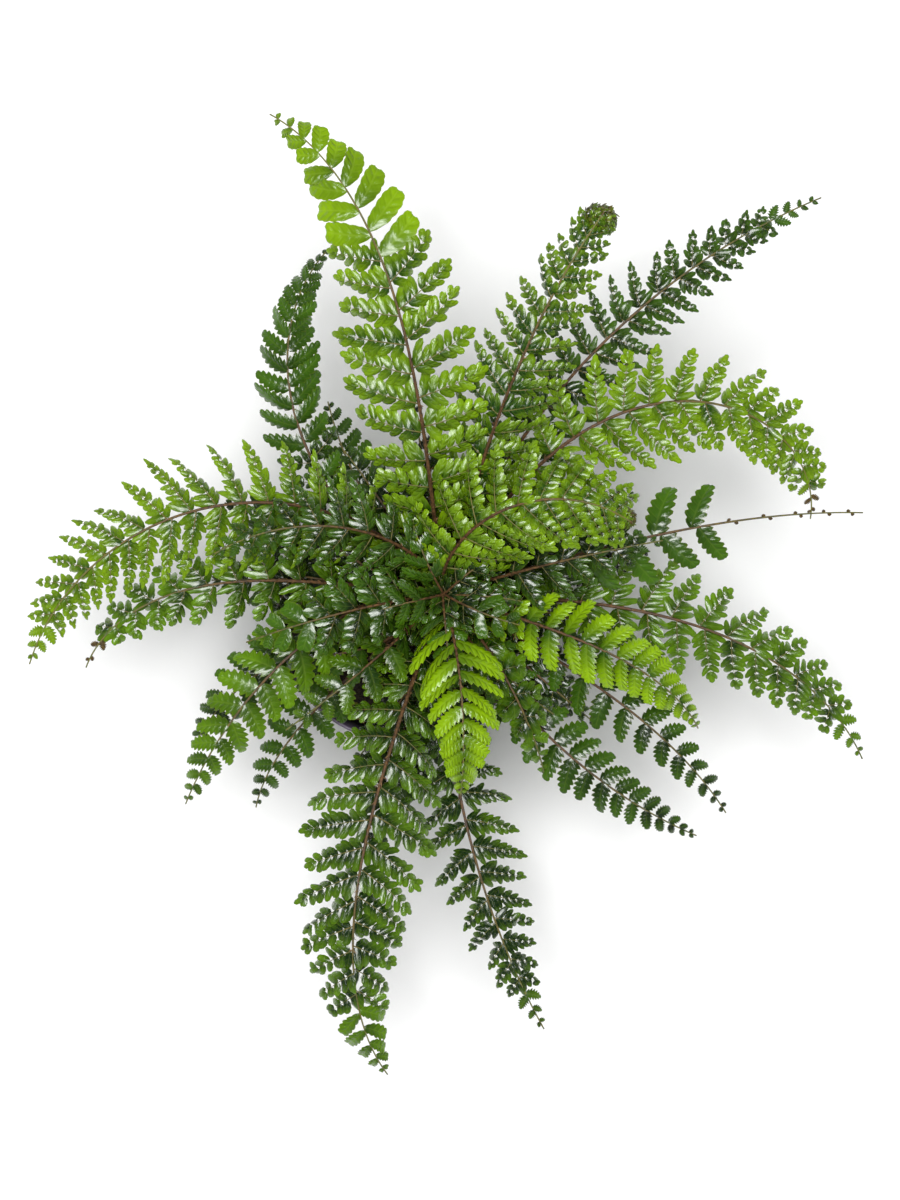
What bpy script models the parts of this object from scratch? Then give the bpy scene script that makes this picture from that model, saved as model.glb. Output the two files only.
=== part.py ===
# Potted fern: a thin plastic pot, the soil in it, a scaly crown and the fronds that grow from the crown.
# Metres, +Z up. The origin is the middle of the pot's flat base.
import math

import bmesh
import bpy
import numpy as np

MM = 0.001
GAP = 0.3 * MM              # air left between two solids that rest against each other
SEGMENTS = 48               # facets around the pot and the soil

POT_HEIGHT = 100 * MM
POT_RIM_RADIUS = 60 * MM
POT_LIP_HEIGHT = 7 * MM
POT_LIP_OVERHANG = 2.2 * MM
POT_FOOT_RADIUS = 41 * MM
POT_WALL = 1.2 * MM
POT_BASE = 1.5 * MM
DRAIN_COUNT = 8
DRAIN_RADIUS = 4 * MM
DRAIN_CIRCLE = 30 * MM

SOIL_TOP = 88 * MM
SOIL_LUMP = 1.6 * MM

CROWN_CENTRE = (18 * MM, 9 * MM, 90 * MM)
CROWN_RADIUS = 16 * MM
CROWN_SCALE_DEPTH = 0.7 * MM

STIPE_WIDTH = 1.5 * MM      # width of the stalk where it leaves the crown, before the share of its length
STIPE_SHARE = 0.0042        # width added for each length of frond: a long frond has a thicker stalk
TIP_WIDTH = 0.8 * MM        # width of the rachis at the frond's tip
LEAF_THICKNESS = 0.6 * MM
SWEEP_BASE = 82             # degrees between a pinna and the rachis, at the first and at the last pair
SWEEP_TIP = 48
CURVE_STEPS = 240

LEAF_COLOURS = {"bright": (0.26, 0.42, 0.03, 1), "mid": (0.12, 0.27, 0.03, 1), "dark": (0.05, 0.15, 0.02, 1)}

# Each frond leaves the crown at heading and rise degrees, turns by turn and bends down to fall degrees.
# swing is the power that holds the turn back to the outer part. length and pinna are in millimetres, bare is
# the share of the length with no pinnae, and droop and tilt lay the pinnae down or lean the whole blade.
FRONDS = [
    dict(name="inner_frond_1", tone="bright", length=262, heading=96, turn=52, swing=3.0, rise=62, fall=-28,
         bare=0.3, pinna=32, pairs=18, droop=8, tilt=5),
    dict(name="inner_frond_2", tone="bright", length=232, heading=74, turn=-26, swing=2.0, rise=54, fall=-4,
         bare=0.28, pinna=27, pairs=15, droop=22, coil=560),
    dict(name="inner_frond_3", tone="bright", length=250, heading=58, turn=-152, swing=2.0, rise=52, fall=-39,
         bare=0.32, pinna=31, pairs=17, droop=2),
    dict(name="inner_frond_4", tone="bright", length=166, heading=101, turn=-156, swing=1.0, rise=84, fall=-42,
         bare=0.22, pinna=27, pairs=14, droop=16, coil=420),
    dict(name="inner_frond_5", tone="bright", length=153, heading=-17, turn=-45, swing=3.0, rise=64, fall=-50,
         bare=0.28, pinna=19, pairs=11, droop=16),
    dict(name="inner_frond_6", tone="bright", length=122, heading=-70, turn=-26, swing=1.0, rise=86, fall=-47,
         bare=0.14, pinna=24, pairs=11, droop=18),
    dict(name="inner_frond_7", tone="bright", length=238, heading=130, turn=120, swing=1.0, rise=46, fall=-24,
         bare=0.27, pinna=35, pairs=18, droop=14),
    dict(name="middle_frond_1", tone="mid", length=217, heading=-2, turn=-62, swing=2.0, rise=36, fall=-28,
         bare=0.26, pinna=28, pairs=15, droop=16),
    dict(name="middle_frond_2", tone="dark", length=198, heading=17, turn=-18, swing=2.0, rise=46, fall=-16,
         bare=0.24, pinna=27, pairs=11, droop=18),
    dict(name="middle_frond_3", tone="mid", length=104, heading=-46, turn=-30, swing=1.0, rise=62, fall=-50,
         bare=0.40, pinna=13, pairs=7, droop=12),
    dict(name="middle_frond_4", tone="mid", length=203, heading=-90, turn=28, swing=1.0, rise=30, fall=-26,
         bare=0.3, pinna=26, pairs=15, droop=14),
    dict(name="middle_frond_5", tone="mid", length=243, heading=-109, turn=52, swing=3.0, rise=52, fall=-38,
         bare=0.27, pinna=34, pairs=18, droop=14),
    dict(name="middle_frond_6", tone="mid", length=170, heading=170, turn=76, swing=0.5, rise=52, fall=-38,
         bare=0.29, pinna=24, pairs=13, droop=17),
    dict(name="middle_frond_7", tone="dark", length=138, heading=110, turn=100, swing=0.8, rise=72, fall=-22,
         bare=0.34, pinna=25, pairs=10, droop=16),
    dict(name="middle_frond_8", tone="mid", length=176, heading=174, turn=74, swing=3.0, rise=42, fall=-18,
         bare=0.34, pinna=22, pairs=11, droop=12),
    dict(name="middle_frond_9", tone="dark", length=92, heading=228, turn=-66, swing=1.0, rise=56, fall=-30,
         bare=0.22, pinna=24, pairs=9, droop=20),
    dict(name="middle_frond_10", tone="dark", length=112, heading=186, turn=14, swing=1.0, rise=78, fall=-34,
         bare=0.24, pinna=21, pairs=9, droop=6),
    dict(name="middle_frond_11", tone="dark", length=118, heading=18, turn=-8, swing=1.0, rise=68, fall=-10,
         bare=0.26, pinna=22, pairs=9, droop=14),
    dict(name="middle_frond_12", tone="mid", length=104, heading=-134, turn=-10, swing=1.0, rise=66, fall=-29,
         bare=0.2, pinna=20, pairs=9, droop=8),
    dict(name="middle_frond_13", tone="dark", length=100, heading=150, turn=16, swing=1.0, rise=34, fall=-10,
         bare=0.34, pinna=19, pairs=8, droop=12),
    dict(name="middle_frond_14", tone="dark", length=92, heading=34, turn=-16, swing=1.0, rise=34, fall=-14,
         bare=0.30, pinna=18, pairs=7, droop=12),
    dict(name="outer_frond_1", tone="dark", length=256, heading=69, turn=-46, swing=1.0, rise=40, fall=-14,
         bare=0.35, pinna=25, pairs=17, droop=7),
    dict(name="outer_frond_2", tone="dark", length=163, heading=-29, turn=-28, swing=2.0, rise=36, fall=-30,
         bare=0.33, pinna=19, pairs=12, droop=12),
    dict(name="outer_frond_3", tone="dark", length=158, heading=-60, turn=36, swing=1.0, rise=29, fall=-28,
         bare=0.33, pinna=19, pairs=14, droop=12),
    dict(name="outer_frond_4", tone="dark", length=112, heading=-106, turn=0, swing=1.0, rise=22, fall=-16,
         bare=0.34, pinna=22, pairs=9, droop=12),
    dict(name="outer_frond_5", tone="dark", length=130, heading=-139, turn=36, swing=3.0, rise=36, fall=-40,
         bare=0.42, pinna=18, pairs=9, droop=16),
    dict(name="outer_frond_6", tone="dark", length=136, heading=-162, turn=46, swing=2.0, rise=36, fall=-38,
         bare=0.48, pinna=17, pairs=9, droop=12),
    dict(name="outer_frond_7", tone="dark", length=96, heading=172, turn=10, swing=1.0, rise=30, fall=-10,
         bare=0.42, pinna=20, pairs=7, droop=12),
    dict(name="outer_frond_8", tone="dark", length=191, heading=144, turn=-95, swing=1.5, rise=42, fall=-29,
         bare=0.43, pinna=19, pairs=13, droop=14),
    dict(name="outer_frond_9", tone="dark", length=95, heading=134, turn=-30, swing=1.0, rise=32, fall=-18,
         bare=0.42, pinna=18, pairs=7, droop=12),
]


def material(name, colour, roughness):
    made = bpy.data.materials.new(name)
    made.use_nodes = True
    surface = made.node_tree.nodes["Principled BSDF"]
    surface.inputs["Base Color"].default_value = colour
    surface.inputs["Roughness"].default_value = roughness
    made.diffuse_color = colour
    return made


def add_object(name, points, faces, surface):
    mesh = bpy.data.meshes.new(name)
    mesh.from_pydata([tuple(point) for point in points], [], faces)
    shape = bmesh.new()
    shape.from_mesh(mesh)
    bmesh.ops.recalc_face_normals(shape, faces=shape.faces)
    shape.to_mesh(mesh)
    shape.free()
    mesh.materials.append(surface)
    made = bpy.data.objects.new(name, mesh)
    bpy.context.scene.collection.objects.link(made)
    return made


def lathe(profile, segments, lift=None):
    # profile: (radius, height) pairs from the axis at the bottom round to the axis at the top
    points = [(0, 0, profile[0][1])]
    inner = profile[1:-1]
    for radius, height in inner:
        for step in range(segments):
            angle = 2 * math.pi * step / segments
            x, y = radius * math.cos(angle), radius * math.sin(angle)
            points.append((x, y, height + (lift(x, y, height) if lift else 0)))
    top_height = profile[-1][1]
    points.append((0, 0, top_height + (lift(0, 0, top_height) if lift else 0)))
    last = len(points) - 1
    faces = []
    for step in range(segments):
        after = (step + 1) % segments
        faces.append((0, 1 + after, 1 + step))
        faces.append((last, last - segments + step, last - segments + after))
        for ring in range(len(inner) - 1):
            low = 1 + ring * segments
            high = low + segments
            faces.append((low + step, low + after, high + after, high + step))
    return points, faces


def pot_inner_radius(height):
    wall_top = POT_RIM_RADIUS - POT_LIP_OVERHANG
    outer = POT_FOOT_RADIUS + (wall_top - POT_FOOT_RADIUS) * height / POT_HEIGHT
    return outer - POT_WALL


def build_pot():
    top = POT_RIM_RADIUS - POT_LIP_OVERHANG
    lip = POT_HEIGHT - POT_LIP_HEIGHT
    under_lip = pot_inner_radius(lip) + POT_WALL
    profile = [
        (0, 0),
        (POT_FOOT_RADIUS - 2 * MM, 0),
        (POT_FOOT_RADIUS - 0.4 * MM, 0.8 * MM),
        (POT_FOOT_RADIUS + 0.4 * MM, 3 * MM),
        (under_lip, lip),
        (POT_RIM_RADIUS, lip + 0.8 * MM),
        (POT_RIM_RADIUS, POT_HEIGHT - 1 * MM),
        (POT_RIM_RADIUS - 0.8 * MM, POT_HEIGHT),
        (top - POT_WALL + 0.5 * MM, POT_HEIGHT),
        (pot_inner_radius(POT_HEIGHT - 1 * MM), POT_HEIGHT - 1 * MM),
        (pot_inner_radius(POT_BASE + 2 * MM), POT_BASE + 2 * MM),
        (pot_inner_radius(POT_BASE) - 1.5 * MM, POT_BASE),
        (0, POT_BASE),
    ]
    points, faces = lathe(profile, SEGMENTS)
    pot = add_object("pot", points, faces, material("pot", (0.012, 0.012, 0.014, 1), 0.45))
    cutter_points, cutter_faces = [], []
    sides = 16
    for hole in range(DRAIN_COUNT):
        turn = 2 * math.pi * (hole + 0.5) / DRAIN_COUNT
        first = len(cutter_points)
        for height in (-2 * MM, POT_BASE + 1 * MM):
            for side in range(sides):
                angle = 2 * math.pi * side / sides
                cutter_points.append((DRAIN_CIRCLE * math.cos(turn) + DRAIN_RADIUS * math.cos(angle),
                                      DRAIN_CIRCLE * math.sin(turn) + DRAIN_RADIUS * math.sin(angle), height))
        cutter_faces.append(tuple(range(first + sides - 1, first - 1, -1)))
        cutter_faces.append(tuple(range(first + sides, first + 2 * sides)))
        for side in range(sides):
            after = (side + 1) % sides
            cutter_faces.append((first + side, first + after, first + sides + after, first + sides + side))
    cutter = add_object("drain_cutter", cutter_points, cutter_faces, pot.data.materials[0])
    cutter.hide_render = True
    cut = pot.modifiers.new("drains", "BOOLEAN")
    cut.operation = "DIFFERENCE"
    cut.solver = "EXACT"
    cut.object = cutter


def soil_lump(x, y, height):
    # soft lumps on the top only, fading out under the crown so that it sits on a level patch
    if height < SOIL_TOP - 1 * MM:
        return 0
    away = math.hypot(x - CROWN_CENTRE[0], y - CROWN_CENTRE[1])
    fade = min(1, max(0, (away - 20 * MM) / (8 * MM)))
    wave = math.sin(x * 190 + 1) * math.sin(y * 230 + 2) + 0.5 * math.sin(x * 410 + y * 330)
    return SOIL_LUMP * fade * wave / 1.5


def build_soil():
    low = POT_BASE + GAP
    radius = pot_inner_radius(SOIL_TOP) - GAP
    profile = [
        (0, low),
        (pot_inner_radius(low) - 2 * MM - GAP, low),
        (pot_inner_radius(low + 3 * MM) - GAP, low + 3 * MM),
        (pot_inner_radius(SOIL_TOP - 2.5 * MM) - GAP, SOIL_TOP - 2.5 * MM),
    ]
    profile += [(radius * share, SOIL_TOP) for share in (0.985, 0.86, 0.72, 0.56, 0.38, 0.2)]
    profile.append((0, SOIL_TOP))
    points, faces = lathe(profile, SEGMENTS, soil_lump)
    add_object("soil", points, faces, material("soil", (0.03, 0.02, 0.012, 1), 0.95))


def build_crown():
    rings, around = 9, 24
    cx, cy, cz = CROWN_CENTRE
    floor = SOIL_TOP + GAP
    lowest = math.asin((floor - cz) / CROWN_RADIUS)
    points = [(cx, cy, floor)]
    for ring in range(rings):
        rise = lowest + (math.radians(80) - lowest) * ring / (rings - 1)
        for step in range(around):
            scale = CROWN_SCALE_DEPTH * ((ring + step) % 2) * (1 if 0 < ring < rings - 1 else 0)
            radius = CROWN_RADIUS - scale
            angle = 2 * math.pi * step / around
            points.append((cx + radius * math.cos(rise) * math.cos(angle),
                           cy + radius * math.cos(rise) * math.sin(angle),
                           max(floor, cz + radius * math.sin(rise))))
    points.append((cx, cy, cz + CROWN_RADIUS))
    last = len(points) - 1
    faces = []
    for step in range(around):
        after = (step + 1) % around
        faces.append((0, 1 + after, 1 + step))
        faces.append((last, last - around + step, last - around + after))
        for ring in range(rings - 1):
            low = 1 + ring * around
            faces.append((low + step, low + after, low + around + after, low + around + step))
    add_object("crown", points, faces, material("crown", (0.16, 0.08, 0.03, 1), 0.9))


def direction(heading, rise):
    return np.array([math.cos(rise) * math.cos(heading), math.cos(rise) * math.sin(heading), math.sin(rise)])


def frond_angles(spec, share):
    # heading and rise of the rachis, in radians, at a share of its length
    heading = spec["heading"] + spec["turn"] * share ** spec["swing"]
    rise = spec["rise"] + (spec["fall"] - spec["rise"]) * share
    coil = spec.get("coil", 0)
    if coil and share > 0.84:
        wound = (share - 0.84) / 0.16
        rise -= coil * wound ** 1.6
        heading += 14 * wound
    return math.radians(heading), math.radians(rise)


def frond_path(spec):
    length = spec["length"] * MM
    place = np.array(CROWN_CENTRE) + (CROWN_RADIUS + GAP) * direction(*frond_angles(spec, 0))
    places = [place]
    for step in range(CURVE_STEPS):
        place = place + direction(*frond_angles(spec, (step + 0.5) / CURVE_STEPS)) * length / CURVE_STEPS
        places.append(place)
    return np.array(places)


def frond_frame(spec, places, share):
    # centre of the rachis with its forward, right and up directions
    at = np.array([np.interp(share * CURVE_STEPS, range(CURVE_STEPS + 1), places[:, axis]) for axis in range(3)])
    heading, rise = frond_angles(spec, share)
    forward = direction(heading, rise)
    right = np.array([math.sin(heading), -math.cos(heading), 0])
    up = np.cross(right, forward)
    lean = math.radians(spec.get("tilt", 0))
    return at, forward, right * math.cos(lean) + up * math.sin(lean), up * math.cos(lean) - right * math.sin(lean)


def pinna_reach(spec, share):
    # pinna length over the leafy part: shorter at the first pair, longest at a quarter, tapering to the tip
    swell = min(1, 0.78 + share)
    return max(1.5 * MM, spec["pinna"] * MM * swell * (1 - share ** 1.7) ** 0.85)


def build_frond(spec):
    places = frond_path(spec)
    leafy_end = 0.84 if "coil" in spec else 0.985
    pitch = (leafy_end - spec["bare"]) / spec["pairs"]
    stations = [(spec["bare"] * step / 4, None) for step in range(4)]
    for pair in range(spec["pairs"]):
        middle = spec["bare"] + pitch * (pair + 0.5)
        stations.append((middle - 0.26 * pitch, pair))
        stations.append((middle + 0.26 * pitch, None))
    ends = 14 if "coil" in spec else 1
    stations += [(leafy_end + (1 - leafy_end) * (step + 1) / ends, None) for step in range(ends)]
    stipe = STIPE_WIDTH + STIPE_SHARE * spec["length"] * MM
    points, faces = [], []
    for share, _ in stations:
        at, _, right, up = frond_frame(spec, places, share)
        half = 0.5 * (stipe + (TIP_WIDTH - stipe) * min(1, share * 1.15))
        for side, height in ((1, 1), (1, -1), (-1, -1), (-1, 1)):
            points.append(at + half * (side * right + height * up))
    faces.append((0, 1, 2, 3))
    for station, (share, pair) in enumerate(stations[:-1]):
        near, far = 4 * station, 4 * station + 4
        faces.append((near, near + 3, far + 3, far))
        faces.append((near + 1, near + 2, far + 2, far + 1))
        if pair is None:
            faces.append((near, near + 1, far + 1, far))
            faces.append((near + 2, near + 3, far + 3, far + 2))
            continue
        middle = spec["bare"] + pitch * (pair + 0.5)
        at, forward, right, up = frond_frame(spec, places, middle)
        leafy = (middle - spec["bare"]) / (1 - spec["bare"])
        reach = pinna_reach(spec, leafy)
        sweep = math.radians(SWEEP_BASE + (SWEEP_TIP - SWEEP_BASE) * leafy)
        droop = math.radians(spec["droop"])
        wide = 0.39 * pitch * spec["length"] * MM
        roots = {1: (near, far, far + 1, near + 1), -1: (near + 3, far + 3, far + 2, near + 2)}
        for side, root in roots.items():
            outward = side * right * math.cos(droop) - up * math.sin(droop)
            along = forward * math.cos(sweep) + outward * math.sin(sweep)
            waist = at + along * reach * 0.34
            tip = at + along * reach
            first = len(points)
            for fore, height in ((-1, 1), (1, 1), (1, -1), (-1, -1)):
                points.append(waist + forward * fore * wide + up * height * LEAF_THICKNESS / 2)
            points.append(tip)
            for corner in range(4):
                after = (corner + 1) % 4
                faces.append((root[corner], root[after], first + after, first + corner))
                faces.append((first + corner, first + after, first + 4))
    last = 4 * len(stations) - 4
    faces.append((last, last + 1, last + 2, last + 3))
    add_object(spec["name"], points, faces, LEAVES[spec["tone"]])


for item in list(bpy.data.objects):
    bpy.data.objects.remove(item)
LEAVES = {tone: material("leaf_" + tone, colour, 0.4) for tone, colour in LEAF_COLOURS.items()}
build_pot()
build_soil()
build_crown()
for frond in FRONDS:
    build_frond(frond)
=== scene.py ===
import math

import bpy
import numpy as np
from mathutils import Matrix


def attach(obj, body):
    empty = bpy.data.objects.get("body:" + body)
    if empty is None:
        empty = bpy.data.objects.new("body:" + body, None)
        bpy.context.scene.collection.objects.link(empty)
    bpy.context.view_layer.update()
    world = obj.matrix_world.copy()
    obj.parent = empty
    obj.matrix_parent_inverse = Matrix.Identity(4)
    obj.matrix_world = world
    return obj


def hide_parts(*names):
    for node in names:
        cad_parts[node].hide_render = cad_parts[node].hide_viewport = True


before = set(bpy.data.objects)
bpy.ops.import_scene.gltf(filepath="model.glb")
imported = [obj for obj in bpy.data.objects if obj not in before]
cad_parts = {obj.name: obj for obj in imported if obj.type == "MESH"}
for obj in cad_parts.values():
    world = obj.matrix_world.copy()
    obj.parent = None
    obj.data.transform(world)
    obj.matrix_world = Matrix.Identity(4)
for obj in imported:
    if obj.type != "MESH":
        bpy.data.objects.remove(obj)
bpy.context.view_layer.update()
mm = 0.001
goldenTurn = 137.5  # degrees between one leaf of a spiral and the next
chance = np.random.default_rng(41)
print("frame:", len(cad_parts), "nodes")


# Shader helpers: add a node, wire what is a socket and set what is a number

def addNode(tree, kind, wires=None, **settings):
    made = tree.nodes.new("ShaderNode" + kind)
    for key, value in settings.items():
        setattr(made, key, value)
    for key, value in (wires or {}).items():
        if isinstance(value, bpy.types.NodeSocket):
            tree.links.new(value, made.inputs[key])
        else:
            made.inputs[key].default_value = value
    return made


def calc(tree, operation, first, second=0.0, third=0.0):
    return addNode(tree, "Math", {0: first, 1: second, 2: third}, operation=operation).outputs[0]


def times(tree, first, second):
    return calc(tree, "MULTIPLY", first, second)


def plus(tree, first, second):
    return calc(tree, "ADD", first, second)


def ease(tree, value, low, high, start=0.0, end=1.0):
    # start below low, end above high, a smooth step between
    wires = {"Value": value, 1: low, 2: high, 3: start, 4: end}
    return addNode(tree, "MapRange", wires, interpolation_type="SMOOTHSTEP").outputs[0]


def blendColour(tree, share, first, second):
    return addNode(tree, "Mix", {0: share, 6: first, 7: second}, data_type="RGBA").outputs[2]


def split(tree, vector):
    return addNode(tree, "SeparateXYZ", {0: vector}).outputs


def leafFacts(tree):
    # the three numbers that each corner of a mesh carries
    return split(tree, addNode(tree, "Attribute", attribute_name="leafFacts").outputs["Vector"])


def ownPlace(tree):
    return addNode(tree, "TexCoord").outputs["Object"]


def speckle(tree, place, scale, detail=3.0, rough=0.55):
    wires = {"Vector": place, "Scale": scale, "Detail": detail, "Roughness": rough}
    return addNode(tree, "TexNoise", wires).outputs[0]


def newGroup(name, inputs, outputs):
    group = bpy.data.node_groups.new(name, "ShaderNodeTree")
    for label, kind, value in inputs:
        socket = group.interface.new_socket(label, in_out="INPUT", socket_type="NodeSocket" + kind)
        socket.default_value = value
    for label, kind in outputs:
        group.interface.new_socket(label, in_out="OUTPUT", socket_type="NodeSocket" + kind)
    return group, group.nodes.new("NodeGroupInput").outputs, group.nodes.new("NodeGroupOutput").inputs


def placeGroup(tree, group, **values):
    made = tree.nodes.new("ShaderNodeGroup")
    made.node_tree = group
    for key, value in values.items():
        made.inputs[key].default_value = value
    return made


def newMaterial(name, shown, **settings):
    made = bpy.data.materials.new(name)
    made.use_nodes = True
    made.diffuse_color = (*shown, 1)
    surface = made.node_tree.nodes["Principled BSDF"]
    for key, value in settings.items():
        surface.inputs[key].default_value = value
    return made, made.node_tree, surface


# The skin of a leaf, read from its own map and facts: along the leaf, veins one unit apart, and across it 0 to 1.
# facts hold the tone (0 deep green, 1 fresh green), the age (0 sound, 1 dead) and the side (0 top, 1 underside).
def leafSkinGroup():
    group, given, out = newGroup(
        "leafSkin",
        [("Deep", "Color", (0.008, 0.04, 0.008, 1)), ("Fresh", "Color", (0.2, 0.4, 0.02, 1)),
         ("Vein", "Float", 0.3), ("Mottle", "Float", 0.3), ("Gloss", "Float", 0.26)],
        [("Colour", "Color"), ("Rough", "Float"), ("Height", "Float")])
    tone, age, side = leafFacts(group)
    x, y, _ = split(group, addNode(group, "UVMap", uv_map="leafUv").outputs[0])
    place = ownPlace(group)
    away = calc(group, "ABSOLUTE", calc(group, "MULTIPLY_ADD", y, 2.0, -1.0))  # 0 on the midrib, 1 at the edge
    along = calc(group, "SUBTRACT", x, times(group, away, 0.7))  # side veins lean forward
    between = calc(group, "PINGPONG", along, 0.5)  # 0 on a vein, 0.5 between two
    veinLine = ease(group, between, 0.0, 0.16, 1.0, 0.0)
    ribLine = ease(group, away, 0.02, 0.14, 1.0, 0.0)
    lines = calc(group, "MAXIMUM", times(group, veinLine, 0.6), ribLine)
    coarse = speckle(group, place, 70.0)
    fine = speckle(group, place, 900.0, 2.0)
    shift = times(group, calc(group, "SUBTRACT", coarse, 0.5), given["Mottle"])
    green = blendColour(group, plus(group, tone, shift), given["Deep"], given["Fresh"])
    paler = blendColour(group, 0.35, green, (0.5, 0.62, 0.12, 1))
    green = blendColour(group, times(group, lines, given["Vein"]), green, paler)
    rim = times(group, ease(group, away, 0.8, 1.0), 0.35)
    green = blendColour(group, rim, green, blendColour(group, 0.4, green, (0.33, 0.36, 0.02, 1)))
    under = blendColour(group, 0.45, green, (0.17, 0.27, 0.09, 1))
    green = blendColour(group, side, green, under)
    rust = blendColour(group, ease(group, fine, 0.3, 0.7), (0.045, 0.028, 0.008, 1), (0.14, 0.085, 0.022, 1))
    spots = ease(group, plus(group, age, times(group, calc(group, "SUBTRACT", coarse, 0.5), 0.8)),
                 0.25, 0.75)
    group.links.new(blendColour(group, spots, green, rust), out["Colour"])
    rough = plus(group, given["Gloss"], times(group, calc(group, "SUBTRACT", fine, 0.5), 0.2))
    rough = plus(group, rough, times(group, side, 0.2))
    group.links.new(plus(group, rough, times(group, spots, 0.3)), out["Rough"])
    swell = times(group, ease(group, between, 0.0, 0.42), ease(group, away, 0.0, 0.35))
    swell = times(group, swell, 0.6)
    grain = times(group, fine, 0.06)
    bulge = speckle(group, place, 260.0, 1.5)
    group.links.new(plus(group, plus(group, swell, grain), bulge), out["Height"])
    return group


# Dust and fine wear for the hard and earthy pieces: pale specks, a broad cloud and a grainy height.
def grimeGroup():
    group, given, out = newGroup(
        "grime",
        [("Base", "Color", (0.02, 0.02, 0.02, 1)), ("Dust", "Color", (0.2, 0.17, 0.13, 1)),
         ("Amount", "Float", 0.3), ("Scale", "Float", 300.0)],
        [("Colour", "Color"), ("Mask", "Float"), ("Height", "Float")])
    place = ownPlace(group)
    cloud = speckle(group, place, 28.0, 4.0)
    grain = speckle(group, place, given["Scale"], 3.0, 0.7)
    mask = times(group, ease(group, cloud, 0.35, 0.75), ease(group, grain, 0.42, 0.7))
    mask = times(group, mask, given["Amount"])
    group.links.new(blendColour(group, mask, given["Base"], given["Dust"]), out["Colour"])
    group.links.new(mask, out["Mask"])
    group.links.new(grain, out["Height"])
    return group


leafSkin = leafSkinGroup()
grime = grimeGroup()


def dress(tree, surface, colour, rough, height, distance):
    # a finish: its colour, its roughness, and a bump of the given height in metres
    bump = addNode(tree, "Bump", {"Height": height, "Distance": distance, "Strength": 1.0})
    for value, socket in ((colour, "Base Color"), (rough, "Roughness"), (bump.outputs[0], "Normal")):
        tree.links.new(value, surface.inputs[socket])


def leafMaterial(name, shown, deep, fresh, vein, mottle, gloss, coat):
    shine = {"Coat Weight": coat, "Coat Roughness": 0.18, "Specular IOR Level": 0.2}
    made, tree, surface = newMaterial(name, shown, **shine)
    skin = placeGroup(tree, leafSkin, Deep=(*deep, 1), Fresh=(*fresh, 1), Vein=vein, Mottle=mottle, Gloss=gloss)
    dress(tree, surface, *skin.outputs, 0.5 * mm)
    return made


leafLooks = {
    "young_frond": dict(shown=(0.25, 0.42, 0.03), deep=(0.010, 0.045, 0.001), fresh=(0.21, 0.37, 0.002),
                        vein=0.2, mottle=0.8, gloss=0.20, coat=0.7),
    "grown_frond": dict(shown=(0.1, 0.26, 0.03), deep=(0.003, 0.018, 0.001), fresh=(0.13, 0.275, 0.003),
                        vein=0.16, mottle=0.7, gloss=0.18, coat=0.8),
    "old_frond": dict(shown=(0.04, 0.13, 0.03), deep=(0.002, 0.010, 0.001), fresh=(0.06, 0.155, 0.005),
                      vein=0.12, mottle=0.7, gloss=0.16, coat=0.9),
}
leafMaterials = {slot: leafMaterial(slot + "_leaf", **look) for slot, look in leafLooks.items()}


# Stalks and their chaff share one material. Its facts: share of the way to the tip, 1 on a scale, luck.
def stalkMaterial(name, green):
    made, tree, surface = newMaterial(name, (0.14, 0.1, 0.04))
    share, scale, luck = leafFacts(tree)
    fibre = speckle(tree, ownPlace(tree), 700.0)
    streak = ease(tree, fibre, 0.3, 0.7)
    bark = blendColour(tree, streak, (0.025, 0.011, 0.003, 1), (0.12, 0.055, 0.014, 1))
    sap = blendColour(tree, streak, green, (0.16, 0.14, 0.025, 1))
    fresh = ease(tree, plus(tree, share, times(tree, fibre, 0.3)), 0.6, 1.15)
    stem = blendColour(tree, fresh, bark, sap)
    chaff = blendColour(tree, luck, (0.045, 0.02, 0.006, 1), (0.24, 0.135, 0.05, 1))
    rough = ease(tree, fibre, 0.2, 0.8, 0.45, 0.75)
    dress(tree, surface, blendColour(tree, scale, stem, chaff), rough, fibre, 0.25 * mm)
    return made


stalkMaterials = {
    "young_frond": stalkMaterial("youngStalk", (0.14, 0.17, 0.03, 1)),
    "grown_frond": stalkMaterial("grownStalk", (0.09, 0.12, 0.03, 1)),
    "old_frond": stalkMaterial("oldStalk", (0.05, 0.07, 0.02, 1)),
}


# Surfaces: every piece is a set of four-cornered faces worked out as whole arrays

def newObject(name, data):
    made = bpy.data.objects.new(name, data)
    bpy.context.scene.collection.objects.link(made)
    return made


def unit(vectors):
    return vectors / np.linalg.norm(vectors, axis=-1, keepdims=True)


def square(normal, axis):
    # what is left of normal at right angles to axis, one long
    return unit(normal - np.sum(normal * axis, -1, keepdims=True) * axis)


def spun(vectors, axis, angle):
    # vectors turned about a unit axis: v cos a + (k x v) sin a + k (k.v)(1 - cos a)
    turnCos, turnSin = np.cos(angle)[..., None], np.sin(angle)[..., None]
    held = np.sum(axis * vectors, axis=-1, keepdims=True)
    return vectors * turnCos + np.cross(axis, vectors) * turnSin + axis * held * (1 - turnCos)


def gridFaces(rows, columns):
    # corner numbers of a grid's faces, row by row
    i, j = np.meshgrid(np.arange(rows), np.arange(columns), indexing="ij")
    i, j = i.ravel(), j.ravel()
    return np.stack([np.stack([i + a, j + b], 1) for a, b in ((0, 0), (1, 0), (1, 1), (0, 1))], 1)


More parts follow.
